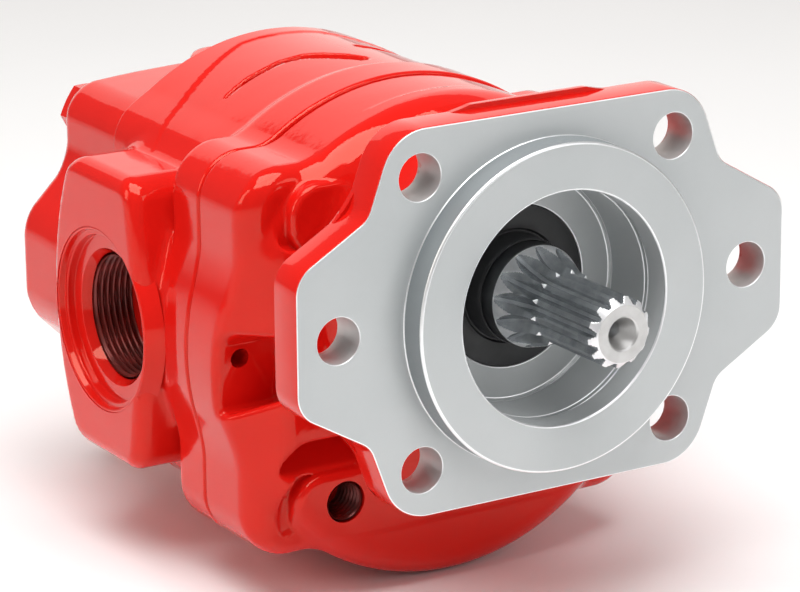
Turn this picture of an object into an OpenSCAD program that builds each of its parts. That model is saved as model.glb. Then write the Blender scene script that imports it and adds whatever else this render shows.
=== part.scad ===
// External gear pump in three castings, with a six-hole mounting flange and a splined shaft.
// Millimetres. The origin is the centre of the flange's mounting face, on the shaft's axis.
// The shaft end faces -Y, the rear cover lies towards +Y, and +Z is up.

/* [Mounting flange] */
// Diameter of the pilot that centres the pump
pilot_d = 101.6; // [99:0.1:104]
// Height of the pilot in front of the mounting face
pilot_h = 9.4; // [7:0.1:12]
// Thickness of the flange plate
flange_t = 13; // [11:0.5:15]
// Height of the flange plate
flange_h = 119.2; // [117:0.2:124]
// Width of the flange over its two ears
flange_w = 174; // [171:0.5:178]
// Side of the square of the four corner holes
corner_pitch = 89.8; // [87:0.1:92]
// Distance between the two ear holes
ear_pitch = 146; // [143:0.5:148]
// Diameter of the six mounting holes
mount_hole_d = 14.3; // [13:0.1:15]
// Diameter of the open bore round the shaft end
front_bore_d = 72.3; // [70:0.1:74]
// Depth of the open bore from the pilot's end
front_bore_depth = 29.4; // [27:0.2:31]

/* [Body] */
// Distance between the two gear axes
gear_centres = 51; // [50:0.25:52]
// Diameter of the round body at its joint flanges
body_d = 156; // [153:1:160]
// Front cover's length behind the mounting face
front_cover_l = 85; // [83:0.5:88]
// Length of the gear housing
housing_l = 82.5; // [80.5:0.5:84]
// Length of the rear cover
rear_cover_l = 42.5; // [41:0.5:47]
// Depth of the front cover's round body in front of its joint
front_body_t = 35; // [33:0.5:37]
// Depth of the gear housing's front joint flange
front_band_t = 18; // [15:0.5:20]
// Depth of the gear housing's rear joint flange
rear_band_t = 19; // [15:0.5:21]
// Half the width between the centres of the corner lobes
lobe_x = 57; // [56:0.5:59]
// Half the height between the centres of the corner lobes
lobe_z = 47; // [46:0.5:49]
// Radius of a corner lobe
lobe_r = 15.5; // [14:0.25:17]
// Width of the square body behind the front joint flange
block_w = 115; // [112:0.5:118]
// Height of the square body behind the front joint flange
block_h = 116; // [114:0.5:118]

/* [Ports] */
// Distance between the two port faces
port_span = 168; // [164:0.5:172]
// Distance of the port axis behind the front joint
port_y_in = 46.8; // [45:0.1:48]
// Minor diameter of the port thread
port_thread_d = 39; // [37:0.25:41]
// Diameter of the machined spot face
spot_d = 57.6; // [55:0.2:60]
// Depth of the spot face
spot_depth = 5; // [3:0.25:6]
// Height of the port boss
port_boss_h = 96.5; // [93:0.5:100]
// Length of the port boss along the pump
port_boss_l = 62.6; // [61:0.2:63.4]

/* [Shaft and gears] */
// Number of spline teeth
spline_teeth = 13; // [11:1:15]
// Outer diameter of the spline
spline_d = 21.8; // [20.5:0.1:23]
// Depth of a spline tooth
spline_depth = 1.75; // [1.4:0.05:2]
// Reach of the shaft in front of the mounting face
shaft_reach = 39; // [36:0.5:42]
// Diameter of the shaft in its seal and bushings
journal_d = 31.75; // [30:0.25:33]
// Number of teeth on each gear
gear_teeth = 12; // [12:2:14]
// Radial gap between a gear and its chamber
chamber_gap = 0.4; // [0.3:0.05:0.6]
// Thickness of a thrust plate
thrust_t = 4; // [3:0.25:5]
// Outer diameter of a bushing
bushing_od = 41; // [39:0.25:43]
// Length of a bushing
bushing_l = 31; // [28:0.5:33]

/* [Seal] */
// Outer diameter of the shaft seal
seal_od = 51; // [49:0.25:53]
// Depth of the seal in its bore
seal_t = 12; // [10:0.25:14]
// Reach of the seal's collar in front of its face
collar_reach = 7.5; // [5:0.25:9]

/* [Fasteners] */
// Nominal diameter of the tie bolts
tie_d = 12.7; // [12:0.1:13.5]
// Half the width between tie bolts
tie_x = 42; // [41:0.5:43]
// Half the height between tie bolts
tie_z = 45; // [44:0.5:46]
// Diameter of the dowels
dowel_d = 8; // [6:0.25:9]
// Length of the dowels
dowel_l = 16; // [12:0.5:20]

/* [Hidden] */
$fn = 72;

// Clearances
running_gap = 0.05;
seat_gap = 0.02;
end_float = 0.1;
loose_gap = 0.3;

// Stations along the pump, from the mounting face
mid_z = -gear_centres / 2;
joint_1 = front_cover_l;
joint_2 = joint_1 + housing_l;
rear_end = joint_2 + rear_cover_l;
body_front = joint_1 - front_body_t;
bore_floor = front_bore_depth - pilot_h;
seal_back = bore_floor + seal_t;
port_y = joint_1 + port_y_in;
port_x = port_span / 2;

// Gear form: involute teeth at 25 degrees, thinned for backlash
gear_module = gear_centres / gear_teeth;
pitch_r = gear_centres / 2;
pressure_angle = 25;
base_r = pitch_r * cos(pressure_angle);
gear_tip_r = pitch_r + 0.965 * gear_module;
gear_root_r = pitch_r - 1.2 * gear_module;
backlash_half = 0.16;
chamber_r = gear_tip_r + chamber_gap;
gear_front = joint_1 + thrust_t + end_float;
gear_back = joint_2 - thrust_t - end_float;
journal_r = journal_d / 2;
bush_r = bushing_od / 2;

// Casting details
edge_r = 10;
waist_step = 2.5;
block_corner_r = 12;
block_crown = 3;
soft_n = 4;
lobe_edge_r = 5;
side_face_h = 38;
hub_d = 96;
tie_r = tie_d / 2;
tie_hole_r = tie_r + 0.45;
tap_r = tie_r - 0.6;
paint = [0.86, 0.09, 0.10];
steel = [0.62, 0.63, 0.65];
dark_steel = [0.32, 0.33, 0.35];
bronze = [0.70, 0.52, 0.30];
rubber = [0.08, 0.08, 0.09];

// Points of a round corner at vertex b, between neighbours a and c
function unit(v) = v / norm(v);
function corner_arc(a, b, c, r, n = 6) =
    let (
        u = unit(a - b),
        w = unit(c - b),
        half = acos(u * w) / 2,
        centre = b + unit(u + w) * r / sin(half),
        start = b + u * r / tan(half) - centre,
        turn = u[0] * w[1] - u[1] * w[0] > 0 ? -1 : 1,
        sweep = turn * (180 - 2 * half)
    )
    [for (i = [0 : n])
        let (t = sweep * i / n)
        centre + [start[0] * cos(t) - start[1] * sin(t), start[0] * sin(t) + start[1] * cos(t)]];

// Closed outline from [x, y, radius] vertices
function rounded(v, n = 6) =
    [for (i = [0 : len(v) - 1])
        let (
            a = v[(i + len(v) - 1) % len(v)],
            b = v[i],
            c = v[(i + 1) % len(v)]
        )
        each corner_arc([a[0], a[1]], [b[0], b[1]], [c[0], c[1]], b[2], n)];

// Mirrors the vertices of one quadrant, listed from the top to the side, into a whole outline
function four_way(q) =
    let (m = len(q) - 1)
    concat(
        q,
        [for (i = [m : -1 : 0]) [q[i][0], -q[i][1], q[i][2]]],
        [for (i = [0 : m]) [-q[i][0], -q[i][1], q[i][2]]],
        [for (i = [m : -1 : 0]) [-q[i][0], q[i][1], q[i][2]]]
    );

// Carries a flat outline drawn in X and Z from station y0 to station y1
module prism_y(y0, y1) {
    translate([0, y1, 0])
        rotate([90, 0, 0])
            linear_extrude(height = y1 - y0)
                children();
}

// Carries a flat outline drawn in Y and Z from x0 to x1
module prism_x(x0, x1) {
    translate([x0, 0, 0])
        rotate([90, 0, 90])
            linear_extrude(height = x1 - x0)
                children();
}

// Carries a flat outline drawn in X and Y from z0 to z1
module prism_z(z0, z1) {
    translate([0, 0, z0])
        linear_extrude(height = z1 - z0)
            children();
}

// Straight round rod or hole along Y
module rod_y(x, z, r, y0, y1) {
    translate([x, y1, z])
        rotate([90, 0, 0])
            cylinder(r = r, h = y1 - y0);
}

// Straight round rod or hole along X
module rod_x(y, z, r, x0, x1) {
    translate([x0, y, z])
        rotate([0, 90, 0])
            cylinder(r = r, h = x1 - x0);
}

// Turned form about an axis along Y, from [radius, station] points
module turned(points, x = 0, z = 0) {
    translate([x, 0, z])
        rotate([90, 0, 0])
            rotate_extrude()
                polygon([for (p = points) [p[0], -p[1]]]);
}

// Turned form about an axis along X, from [radius, depth] points, depth running towards -X
module turned_x(points, y, z, x) {
    translate([x, y, z])
        rotate([0, -90, 0])
            rotate_extrude()
                polygon(points);
}

// Round disc along Y with a rounded front edge
module soft_disc(x, z, r, y0, y1, f, n = 5) {
    turned(concat(
        [[0, y1], [r, y1]],
        [for (i = [0 : n]) [r - f + f * cos(90 * i / n), y0 + f - f * sin(90 * i / n)]],
        [[0, y0]]
    ), x, z);
}

// Repeats a child at the four corners of the tie-bolt pattern
module at_ties() {
    for (sx = [-1, 1], sz = [-1, 1])
        translate([sx * tie_x, 0, mid_z + sz * tie_z])
            children();
}

// Repeats a child at the two dowels of a joint, on either side at mid height
front_dowel_x = body_d / 2 - 16;
rear_dowel_x = block_w / 2 - 8;
module at_dowels(x) {
    for (s = [-1, 1])
        translate([s * x, 0, mid_z])
            children();
}

// Two overlapping circles round the gear axes
module gear_pair_outline(r) {
    circle(r = r);
    translate([0, -gear_centres])
        circle(r = r);
}

module gear_pair_ring(r0, r1) {
    difference() {
        gear_pair_outline(r1);
        gear_pair_outline(r0);
    }
}

// Mounting flange
flange_side_x = corner_pitch / 2 + 17.8;
flange_outline = rounded(four_way([
    [corner_pitch / 2 + 8.7, flange_h / 2, 15.5],
    [flange_side_x, 34.8, 8],
    [flange_w / 2, 20.7, 10]
]));

module mounting_flange() {
    prism_y(0, flange_t)
        polygon(flange_outline);
    turned([[0, 1], [pilot_d / 2, 1], [pilot_d / 2, 0.8 - pilot_h], [pilot_d / 2 - 0.8, -pilot_h],
        [0, -pilot_h]]);
}

// Hub that carries the flange on the round body, flared at both ends
module flange_hub() {
    hub_r = hub_d / 2;
    waist_r = hub_r - 5.5;
    y0 = flange_t - 1;
    y1 = body_front + edge_r;
    turned([[0, y0], [hub_r + 5, y0], [hub_r + 1, y0 + 4], [hub_r - 2, y0 + 9], [waist_r, y0 + 17],
        [waist_r, body_front - 5], [waist_r + 1.5, body_front - 1.5], [waist_r + 5, body_front + 1],
        [waist_r + 5, y1], [0, y1]]);
}

// Four corner lobes with soft front edges
module corner_lobes(y0, y1, f) {
    for (sx = [-1, 1], sz = [-1, 1])
        soft_disc(sx * lobe_x, mid_z + sz * lobe_z, lobe_r, y0, y1, f, 4);
}

// Recess in the middle of each side of the front cover, sloping in towards the hub
module side_recess(side) {
    outer = body_d / 2 + 1;
    y0 = body_front - 2;
    translate([0, 0, mid_z])
        hull() {
            translate([0, 0, -side_face_h / 2])
                linear_extrude(height = side_face_h)
                    polygon([[side * outer, y0 + 20], [side * (outer - 24), y0], [side * outer, y0]]);
            translate([0, 0, -side_face_h / 2 - 6])
                linear_extrude(height = side_face_h + 12)
                    polygon([[side * outer, y0 + 8], [side * (outer - 8), y0], [side * outer, y0]]);
        }
}

// Room beyond the tie bolts' ends, and the small tapped hole in each side recess
tap_drill = 4;
recess_hole_r = 3.1;
recess_hole_z = 3.5;
recess_hole_end = body_front + 22;
module front_cover() {
    recess_x = body_d / 2 - 8;
    color(paint)
        difference() {
            union() {
                mounting_flange();
                flange_hub();
                difference() {
                    soft_disc(0, mid_z, body_d / 2, body_front, joint_1, edge_r);
                    side_recess(-1);
                    side_recess(1);
                }
                corner_lobes(joint_1 - 23, joint_1, lobe_edge_r);
            }
            // Mounting holes
            for (sx = [-1, 1], sz = [-1, 1])
                rod_y(sx * corner_pitch / 2, sz * corner_pitch / 2, mount_hole_d / 2, -1, flange_t + 1);
            for (s = [-1, 1])
                rod_y(s * ear_pitch / 2, 0, mount_hole_d / 2, -1, flange_t + 1);
            // Open bore with its ring groove
            rod_y(0, 0, front_bore_d / 2, -pilot_h - 1, bore_floor);
            rod_y(0, 0, front_bore_d / 2 + 1.2, 0, 1.6);
            // Seal bore and the shaft's way through
            rod_y(0, 0, seal_od / 2, bore_floor - 1, seal_back);
            rod_y(0, 0, journal_r + 1.5, seal_back - 1, joint_1);
            // Bushing bores
            for (z = [0, -gear_centres])
                rod_y(0, z, bush_r + seat_gap, joint_1 - bushing_l, joint_1 + 1);
            // Tapped holes for the tie bolts: the lower two come out at the front
            for (sx = [-1, 1], sz = [-1, 1])
                let (y0 = sz < 0 ? body_front - 12 : tie_end - tap_drill)
                rod_y(sx * tie_x, mid_z + sz * tie_z, tap_r, y0, joint_1 + 1);
            at_ties()
                rod_y(0, 0, tie_hole_r, joint_1 - 4, joint_1 + 1);
            at_dowels(front_dowel_x)
                rod_y(0, 0, dowel_d / 2, joint_1 - dowel_l / 2, joint_1 + 1);
            // Small tapped hole in each side recess
            for (s = [-1, 1])
                rod_y(s * recess_x, mid_z + recess_hole_z, recess_hole_r, body_front, recess_hole_end);
        }
}

// Outline of the port boss, in distance behind its middle and height above it
boss_corner = 7;
boss_rear_bulge = 13;
boss_front_bulge = 6;
function boss_outline(inset) =
    let (
        l = port_boss_l / 2 - inset,
        h = port_boss_h / 2 - inset,
        r = max(1, boss_corner - inset)
    )
    rounded([
        [l - boss_rear_bulge, h, r], [l - boss_rear_bulge * 0.3, h * 0.55, 60], [l, 0, 90],
        [l - boss_rear_bulge * 0.3, -h * 0.55, 60], [l - boss_rear_bulge, -h, r],
        [-l + boss_front_bulge, -h, r], [-l, 0, 200], [-l + boss_front_bulge, h, r]
    ], 4);

// Port boss on one side, side = -1 or 1, with a rounded rim and a flared root
boss_draft = 0.9;
boss_y = joint_2 - boss_draft - 0.3 - port_boss_l / 2;
boss_z = mid_z + 1.75;
boss_rim_r = 5;
module port_boss(side) {
    root_x = block_w / 2 - 1;
    mirror([side < 0 ? 1 : 0, 0, 0])
        translate([0, boss_y, boss_z])
            rotate([90, 0, 90])
                hull() {
                    translate([0, 0, root_x])
                        linear_extrude(height = 1)
                            polygon(boss_outline(-boss_draft));
                    for (i = [0 : soft_n])
                        let (a = 90 * i / soft_n)
                        translate([0, 0, port_x - boss_rim_r * (1 - sin(a)) - 0.1])
                            linear_extrude(height = 0.1)
                                polygon(boss_outline(boss_rim_r * (1 - cos(a))));
                }
}

// Spot face, chamfered mouth, thread bore and cored passage to the gears
module port_cut(side) {
    thread_r = port_thread_d / 2;
    thread_end = block_w / 2 + 1;
    passage_r = 14;
    mirror([side < 0 ? 1 : 0, 0, 0]) {
        turned_x([[0, -1], [spot_d / 2, -1], [spot_d / 2, spot_depth / 2],
            [spot_d / 2 - 1.6, spot_depth / 2], [spot_d / 2 - 1.6, spot_depth],
            [thread_r + 2.8, spot_depth], [thread_r, spot_depth + 3.5], [0, spot_depth + 3.5]],
            port_y, mid_z, port_x);
        rod_x(port_y, mid_z, thread_r, thread_end, port_x);
        rod_x(port_y - 3, mid_z, passage_r, 8, thread_end + 1);
    }
}

// Outline of the square body, with round corners and a slightly arched top and bottom
function block_outline(inset) =
    let (
        w = block_w / 2 - inset,
        h = block_h / 2 - inset,
        r = block_corner_r - 0.7 * inset
    )
    rounded(four_way([[w / 4, h + block_crown, 120], [w, h, r]]), 6);

// Housing between its joint flanges: round top and bottom within the width of the square body
module domed_body(r, y0, y1) {
    prism_y(y0, y1)
        translate([0, mid_z])
            intersection() {
                circle(r = r);
                square([block_w, 3 * r], center = true);
            }
    prism_y(y0, y1)
        translate([0, mid_z])
            polygon(block_outline(0));
}

// Two shallow troughs across the top of the housing, the left one turned forward at its inner end
trough_depth = 3;
left_trough = [
    [-38, 127], [-17, 128.2], [-7, 122.5], [0, 113],
    [7, 116], [-1.5, 127.5], [-14, 133], [-38, 131.5]
];
right_trough = [[16, 133], [40, 129], [41, 135], [17, 139]];
module top_troughs() {
    outer = body_d / 2 + 3;
    y0 = joint_1 + front_band_t + 2;
    y1 = joint_2 - rear_band_t - 2;
    intersection() {
        difference() {
            rod_y(0, mid_z, outer, y0, y1);
            rod_y(0, mid_z, body_d / 2 - waist_step - trough_depth, y0 - 1, y1 + 1);
        }
        prism_z(mid_z + outer / 2, mid_z + outer + 1) {
            polygon(left_trough);
            polygon(right_trough);
        }
    }
}

module gear_housing() {
    band_end = joint_1 + front_band_t;
    rear_band = joint_2 - rear_band_t;
    body_r = body_d / 2;
    color(paint)
        difference() {
            union() {
                rod_y(0, mid_z, body_r, joint_1, band_end);
                for (sx = [-1, 1], sz = [-1, 1])
                    rod_y(sx * lobe_x, mid_z + sz * lobe_z, lobe_r, joint_1, band_end);
                domed_body(body_r - waist_step, band_end - 1, rear_band + 1);
                domed_body(body_r, rear_band, joint_2);
                port_boss(-1);
                port_boss(1);
            }
            prism_y(joint_1 - 1, joint_2 + 1)
                gear_pair_outline(chamber_r);
            port_cut(-1);
            port_cut(1);
            top_troughs();
            joint_groove(joint_1 - 1, joint_1 + groove_depth);
            joint_groove(joint_2 - groove_depth, joint_2 + 1);
            at_ties()
                rod_y(0, 0, tie_hole_r, joint_1 - 1, joint_2 + 1);
            at_dowels(front_dowel_x)
                rod_y(0, 0, dowel_d / 2, joint_1 - 1, joint_1 + dowel_l / 2);
            at_dowels(rear_dowel_x)
                rod_y(0, 0, dowel_d / 2, joint_2 - dowel_l / 2, joint_2 + 1);
        }
}

// Groove for the square seal round the gear chamber
groove_r0 = chamber_r + 1.3;
groove_r1 = chamber_r + 3.3;
groove_depth = 2.2;
module joint_groove(y0, y1) {
    prism_y(y0, y1)
        gear_pair_ring(groove_r0, groove_r1);
}

// Rear edges of the rear cover, rounded as seen from above or from the side
rear_edge_r = 7;
function rear_profile(half, y0, y1, r) =
    rounded([[-half, y0, 0.5], [half, y0, 0.5], [half, y1, r], [-half, y1, r]], soft_n);

// Square body of the rear cover
module rear_block() {
    half_w = block_w / 2;
    half_h = block_h / 2 + block_crown;
    intersection() {
        prism_y(joint_2, rear_end)
            translate([0, mid_z])
                polygon(block_outline(0));
        prism_z(mid_z - half_h - 1, mid_z + half_h + 1)
            polygon(rear_profile(half_w, joint_2 - 5, rear_end, rear_edge_r));
        prism_x(-half_w - 1, half_w + 1)
            translate([0, mid_z])
                polygon([for (p = rear_profile(half_h, joint_2 - 5, rear_end, rear_edge_r)) [p[1], p[0]]]);
    }
}

// Unmachined boss on each side of the rear cover, with sloping flanks
side_boss_x = 75;
side_boss_face = 15;
side_boss_root = 37;
side_boss_outline = rounded(four_way([
    [block_w / 2 - 4, side_boss_root, 3],
    [side_boss_x, side_boss_face, 5]
]), 4);

module side_bosses() {
    boss_front = joint_2 + 3;
    boss_rear = rear_end - 1.5;
    intersection() {
        prism_y(boss_front, boss_rear)
            translate([0, mid_z])
                polygon(side_boss_outline);
        prism_z(mid_z - side_boss_root - 1, mid_z + side_boss_root + 1)
            polygon(rounded([
                [-side_boss_x, boss_front, 6], [side_boss_x, boss_front, 6],
                [side_boss_x, boss_rear, rear_edge_r], [-side_boss_x, boss_rear, rear_edge_r]
            ], soft_n));
    }
}

module rear_cover() {
    top_boss_r = 12;
    top_boss_rise = 2.5;
    head_seat_r = tie_r + 6.4;
    color(paint)
        difference() {
            union() {
                rear_block();
                side_bosses();
                translate([0, rear_end - 19, mid_z + block_h / 2 - 3])
                    cylinder(r = top_boss_r, h = 3 + block_crown + top_boss_rise);
            }
            for (z = [0, -gear_centres])
                rod_y(0, z, bush_r + seat_gap, joint_2 - 1, joint_2 + bushing_l + 2);
            at_ties()
                rod_y(0, 0, tie_hole_r, joint_2 - 1, rear_end + 1);
            at_ties()
                rod_y(0, 0, head_seat_r, rear_end - 1, rear_end + 1);
            at_dowels(rear_dowel_x)
                rod_y(0, 0, dowel_d / 2, joint_2 - 1, joint_2 + dowel_l / 2);
        }
}

// Involute gear outline with round-bottomed gaps left plain
function involute_xy(rb, t) = [rb * (cos(t) + t * PI / 180 * sin(t)), rb * (sin(t) - t * PI / 180 * cos(t))];
function involute_angle(r) = sqrt(max(0, pow(r / base_r, 2) - 1)) * 180 / PI;
function polar(p) = [norm(p), atan2(p[1], p[0])];
flank_n = 6;
pitch_roll = polar(involute_xy(base_r, involute_angle(pitch_r)))[1];
tooth_half = 90 / gear_teeth - asin(backlash_half / pitch_r);
flank = [for (i = [0 : flank_n])
    let (
        r = base_r + (gear_tip_r - base_r) * i / flank_n,
        q = polar(involute_xy(base_r, involute_angle(r)))
    )
    [r, tooth_half + pitch_roll - q[1]]];
half_tooth = concat([[gear_root_r, flank[0][1] + 1.2]], flank);
gear_outline = [for (k = [0 : gear_teeth - 1])
    each concat(
        [for (i = [0 : len(half_tooth) - 1])
            let (p = half_tooth[i], a = 360 * k / gear_teeth - p[1])
            p[0] * [cos(a), sin(a)]],
        [for (i = [len(half_tooth) - 1 : -1 : 0])
            let (p = half_tooth[i], a = 360 * k / gear_teeth + p[1])
            p[0] * [cos(a), sin(a)]]
    )];

module gear_teeth_form(z, phase) {
    translate([0, 0, z])
        prism_y(gear_front, gear_back)
            rotate(phase)
                polygon(gear_outline);
}

// Straight spline teeth, with flanks at 30 degrees
spline_r = spline_d / 2;
spline_root = spline_r - spline_depth;
spline_flat = -6;
spline_flare_end = 11;
flare_rise = journal_r - spline_r;
flare_run = spline_flare_end - spline_flat;
flare_r = (flare_rise * flare_rise + flare_run * flare_run) / (2 * flare_rise);
hob_r = 31;
hob_start = spline_flat - 2;

// Cross-section of one gap between teeth, from its root outwards
gap_root_w = 2.0;
module spline_gap() {
    out = 9;
    polygon([[-gap_root_w / 2, 0], [gap_root_w / 2, 0], [gap_root_w / 2 + out * 0.42, out],
        [-gap_root_w / 2 - out * 0.42, out]]);
}

// One gap: a straight run, then the round bottom that the hob leaves as it lifts out
module spline_cut(a) {
    rotate([0, a, 0]) {
        translate([0, hob_start, spline_root])
            rotate([90, 0, 0])
                linear_extrude(height = shaft_reach + 2 + hob_start)
                    spline_gap();
        translate([0, hob_start, spline_root + hob_r])
            rotate([0, 90, 0])
                rotate_extrude($fn = 96)
                    rotate(90)
                        translate([0, -hob_r])
                            spline_gap();
    }
}

// Flare from the spline up to the journal
flare = [for (i = [0 : 8])
    let (s = flare_run * i / 8)
    [spline_r + flare_r - sqrt(flare_r * flare_r - s * s), spline_flat + s]];

module drive_gear_shaft() {
    front = -shaft_reach;
    rear = joint_2 + bushing_l;
    centre_mouth = 5.2;
    centre_r = 2.4;
    color(steel)
        union() {
            difference() {
                turned(concat(
                    [[0, rear], [journal_r - 1, rear], [journal_r, rear - 1]],
                    [for (i = [len(flare) - 1 : -1 : 0]) flare[i]],
                    [[spline_r, front + 1], [spline_r - 1, front], [0, front]]
                ));
                for (k = [0 : spline_teeth - 1])
                    spline_cut(360 * k / spline_teeth);
                turned([[0, front - 1], [centre_mouth + 0.6, front - 1], [centre_mouth, front],
                    [centre_r, front + 5], [centre_r, front + 9], [0, front + 10]]);
            }
            gear_teeth_form(0, 0);
        }
}

module driven_gear_shaft() {
    front = joint_1 - bushing_l + 1;
    rear = joint_2 + bushing_l;
    color(steel)
        union() {
            turned([[0, rear], [journal_r - 1, rear], [journal_r, rear - 1], [journal_r, front + 1],
                [journal_r - 1, front], [0, front]], 0, -gear_centres);
            gear_teeth_form(-gear_centres, 180 / gear_teeth);
        }
}

// Plain bearing bushing from station y0 to y1 round a gear axis
module bushing(z, y0, y1) {
    bore_r = journal_r + running_gap;
    color(bronze)
        turned([[bore_r, y1], [bush_r, y1], [bush_r, y0 + 1], [bush_r - 1, y0], [bore_r, y0]], 0, z);
}

module front_drive_bushing() {
    bushing(0, joint_1 - bushing_l, joint_1);
}

module front_driven_bushing() {
    bushing(-gear_centres, joint_1 - bushing_l, joint_1);
}

module rear_drive_bushing() {
    bushing(0, joint_2, joint_2 + bushing_l);
}

module rear_driven_bushing() {
    bushing(-gear_centres, joint_2, joint_2 + bushing_l);
}

// Thrust plate that seals the gears' end faces; its seal groove faces the cover
channel_r0 = bush_r + 1.2;
channel_r1 = channel_r0 + 2.4;
channel_depth = 1.8;
module thrust_plate(y0, groove_y) {
    color(bronze)
        difference() {
            prism_y(y0, y0 + thrust_t)
                gear_pair_outline(chamber_r - 0.1);
            for (z = [0, -gear_centres])
                rod_y(0, z, journal_r + loose_gap, y0 - 1, y0 + thrust_t + 1);
            prism_y(groove_y, groove_y + channel_depth)
                gear_pair_ring(channel_r0, channel_r1);
        }
}

module front_thrust_plate() {
    thrust_plate(joint_1, joint_1);
}

module rear_thrust_plate() {
    thrust_plate(joint_2 - thrust_t, joint_2 - channel_depth);
}

// Rubber seal in a thrust plate's groove
module channel_seal(y0) {
    color(rubber)
        prism_y(y0, y0 + channel_depth)
            gear_pair_ring(channel_r0 + 0.05, channel_r1 - 0.05);
}

module front_channel_seal() {
    channel_seal(joint_1);
}

module rear_channel_seal() {
    channel_seal(joint_2 - channel_depth);
}

// Square rubber seal in the groove of a joint face
module joint_seal(y0) {
    color(rubber)
        prism_y(y0, y0 + groove_depth)
            gear_pair_ring(groove_r0 + 0.05, groove_r1 - 0.05);
}

module front_joint_seal() {
    joint_seal(joint_1);
}

module rear_joint_seal() {
    joint_seal(joint_2 - groove_depth);
}

// Shaft seal: rubber body with a raised collar and two lips, a steel insert and a garter spring
lip_r = journal_r + 0.1;
seal_r = seal_od / 2;
skin = 0.8;
insert_t = 1.2;
heel_r = lip_r + 4;
collar_r = lip_r + 4.4;
lip_y = 0.68 * seal_t;
spring_r = lip_r + 2.375;
module seal_body() {
    y0 = bore_floor;
    color(rubber)
        turned([[seal_r, y0], [seal_r, y0 + seal_t], [seal_r - skin, y0 + seal_t], [seal_r - skin, y0 + skin],
            [heel_r, y0 + skin], [heel_r - 1, y0 + 3], [spring_r - 0.15, y0 + lip_y],
            [lip_r + 1.4, y0 + lip_y + 1], [lip_r + 0.5, y0 + lip_y + 1], [lip_r, y0 + lip_y],
            [lip_r + 0.6, y0 + lip_y - 1.7], [lip_r + 0.6, y0 - collar_reach + 2],
            [lip_r, y0 - collar_reach + 0.8], [lip_r + 0.5, y0 - collar_reach],
            [collar_r - 1, y0 - collar_reach], [collar_r, y0 - collar_reach + 1],
            [collar_r + 0.4, y0 - 0.6], [collar_r + 1.2, y0]]);
}

module seal_insert() {
    y0 = bore_floor + skin;
    outer = seal_r - skin;
    color(steel)
        turned([[outer, y0], [outer, y0 + seal_t - 2 * skin], [outer - insert_t, y0 + seal_t - 2 * skin],
            [outer - insert_t, y0 + insert_t], [heel_r, y0 + insert_t], [heel_r, y0]]);
}

module seal_spring() {
    wire_r = 0.75;
    color(steel)
        translate([0, bore_floor + lip_y - wire_r, 0])
            rotate([90, 0, 0])
                rotate_extrude()
                    translate([spring_r + wire_r, 0])
                        circle(r = wire_r, $fn = 24);
}

// Tie bolts: hex heads behind the rear cover, threads in the front cover
washer_t = 2.5;
head_h = 8;
head_across = 19.05;
tie_end = body_front + 14;
module tie_bolts() {
    seat = rear_end - 1 + washer_t;
    color(dark_steel)
        at_ties() {
            translate([0, seat + head_h, 0])
                rotate([90, 0, 0])
                    cylinder(r = head_across / 2 / cos(30), h = head_h, $fn = 6);
            rod_y(0, 0, tie_r, joint_1 - 3, seat + 1);
            rod_y(0, 0, tap_r - seat_gap, tie_end, joint_1 - 2);
        }
}

module tie_bolt_washers() {
    color(steel)
        at_ties()
            difference() {
                rod_y(0, 0, tie_r + 5.8, rear_end - 1, rear_end - 1 + washer_t);
                rod_y(0, 0, tie_r + 0.3, rear_end - 2, rear_end + washer_t);
            }
}

module dowel_pair(x, y) {
    color(steel)
        at_dowels(x)
            rod_y(0, 0, dowel_d / 2, y - dowel_l / 2 + 0.5, y + dowel_l / 2 - 0.5);
}

module front_dowels() {
    dowel_pair(front_dowel_x, joint_1);
}

module rear_dowels() {
    dowel_pair(rear_dowel_x, joint_2);
}

front_cover();
gear_housing();
rear_cover();
drive_gear_shaft();
driven_gear_shaft();
front_drive_bushing();
front_driven_bushing();
rear_drive_bushing();
rear_driven_bushing();
front_thrust_plate();
rear_thrust_plate();
front_channel_seal();
rear_channel_seal();
front_joint_seal();
rear_joint_seal();
seal_body();
seal_insert();
seal_spring();
tie_bolts();
tie_bolt_washers();
front_dowels();
rear_dowels();
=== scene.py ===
import math

import bpy
import numpy as np
from mathutils import Matrix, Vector
from mathutils.geometry import tessellate_polygon


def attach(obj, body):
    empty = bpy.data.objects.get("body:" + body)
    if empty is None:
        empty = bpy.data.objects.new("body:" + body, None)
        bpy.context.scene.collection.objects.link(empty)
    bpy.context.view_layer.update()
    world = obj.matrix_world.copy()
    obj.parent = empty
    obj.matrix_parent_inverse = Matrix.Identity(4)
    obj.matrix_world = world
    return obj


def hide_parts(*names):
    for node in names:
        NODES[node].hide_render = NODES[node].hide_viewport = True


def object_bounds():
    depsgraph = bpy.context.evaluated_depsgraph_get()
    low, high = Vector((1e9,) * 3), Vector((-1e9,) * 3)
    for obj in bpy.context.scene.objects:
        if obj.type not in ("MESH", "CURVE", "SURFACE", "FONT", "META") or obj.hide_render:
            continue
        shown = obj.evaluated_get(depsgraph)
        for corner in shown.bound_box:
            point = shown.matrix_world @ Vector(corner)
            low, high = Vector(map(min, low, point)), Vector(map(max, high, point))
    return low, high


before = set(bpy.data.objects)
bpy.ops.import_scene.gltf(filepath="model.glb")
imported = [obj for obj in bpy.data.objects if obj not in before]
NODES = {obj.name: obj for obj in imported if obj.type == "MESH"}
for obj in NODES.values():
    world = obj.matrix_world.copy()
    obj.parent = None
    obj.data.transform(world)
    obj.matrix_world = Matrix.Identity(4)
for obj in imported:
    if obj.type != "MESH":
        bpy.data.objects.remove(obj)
cad_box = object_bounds()

# Shapes are worked out in millimetres and stored in metres
MM = 0.001

# A plane at 45 degrees is the sum or difference of two axes times this
DIAGONAL = 0.7071

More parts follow.
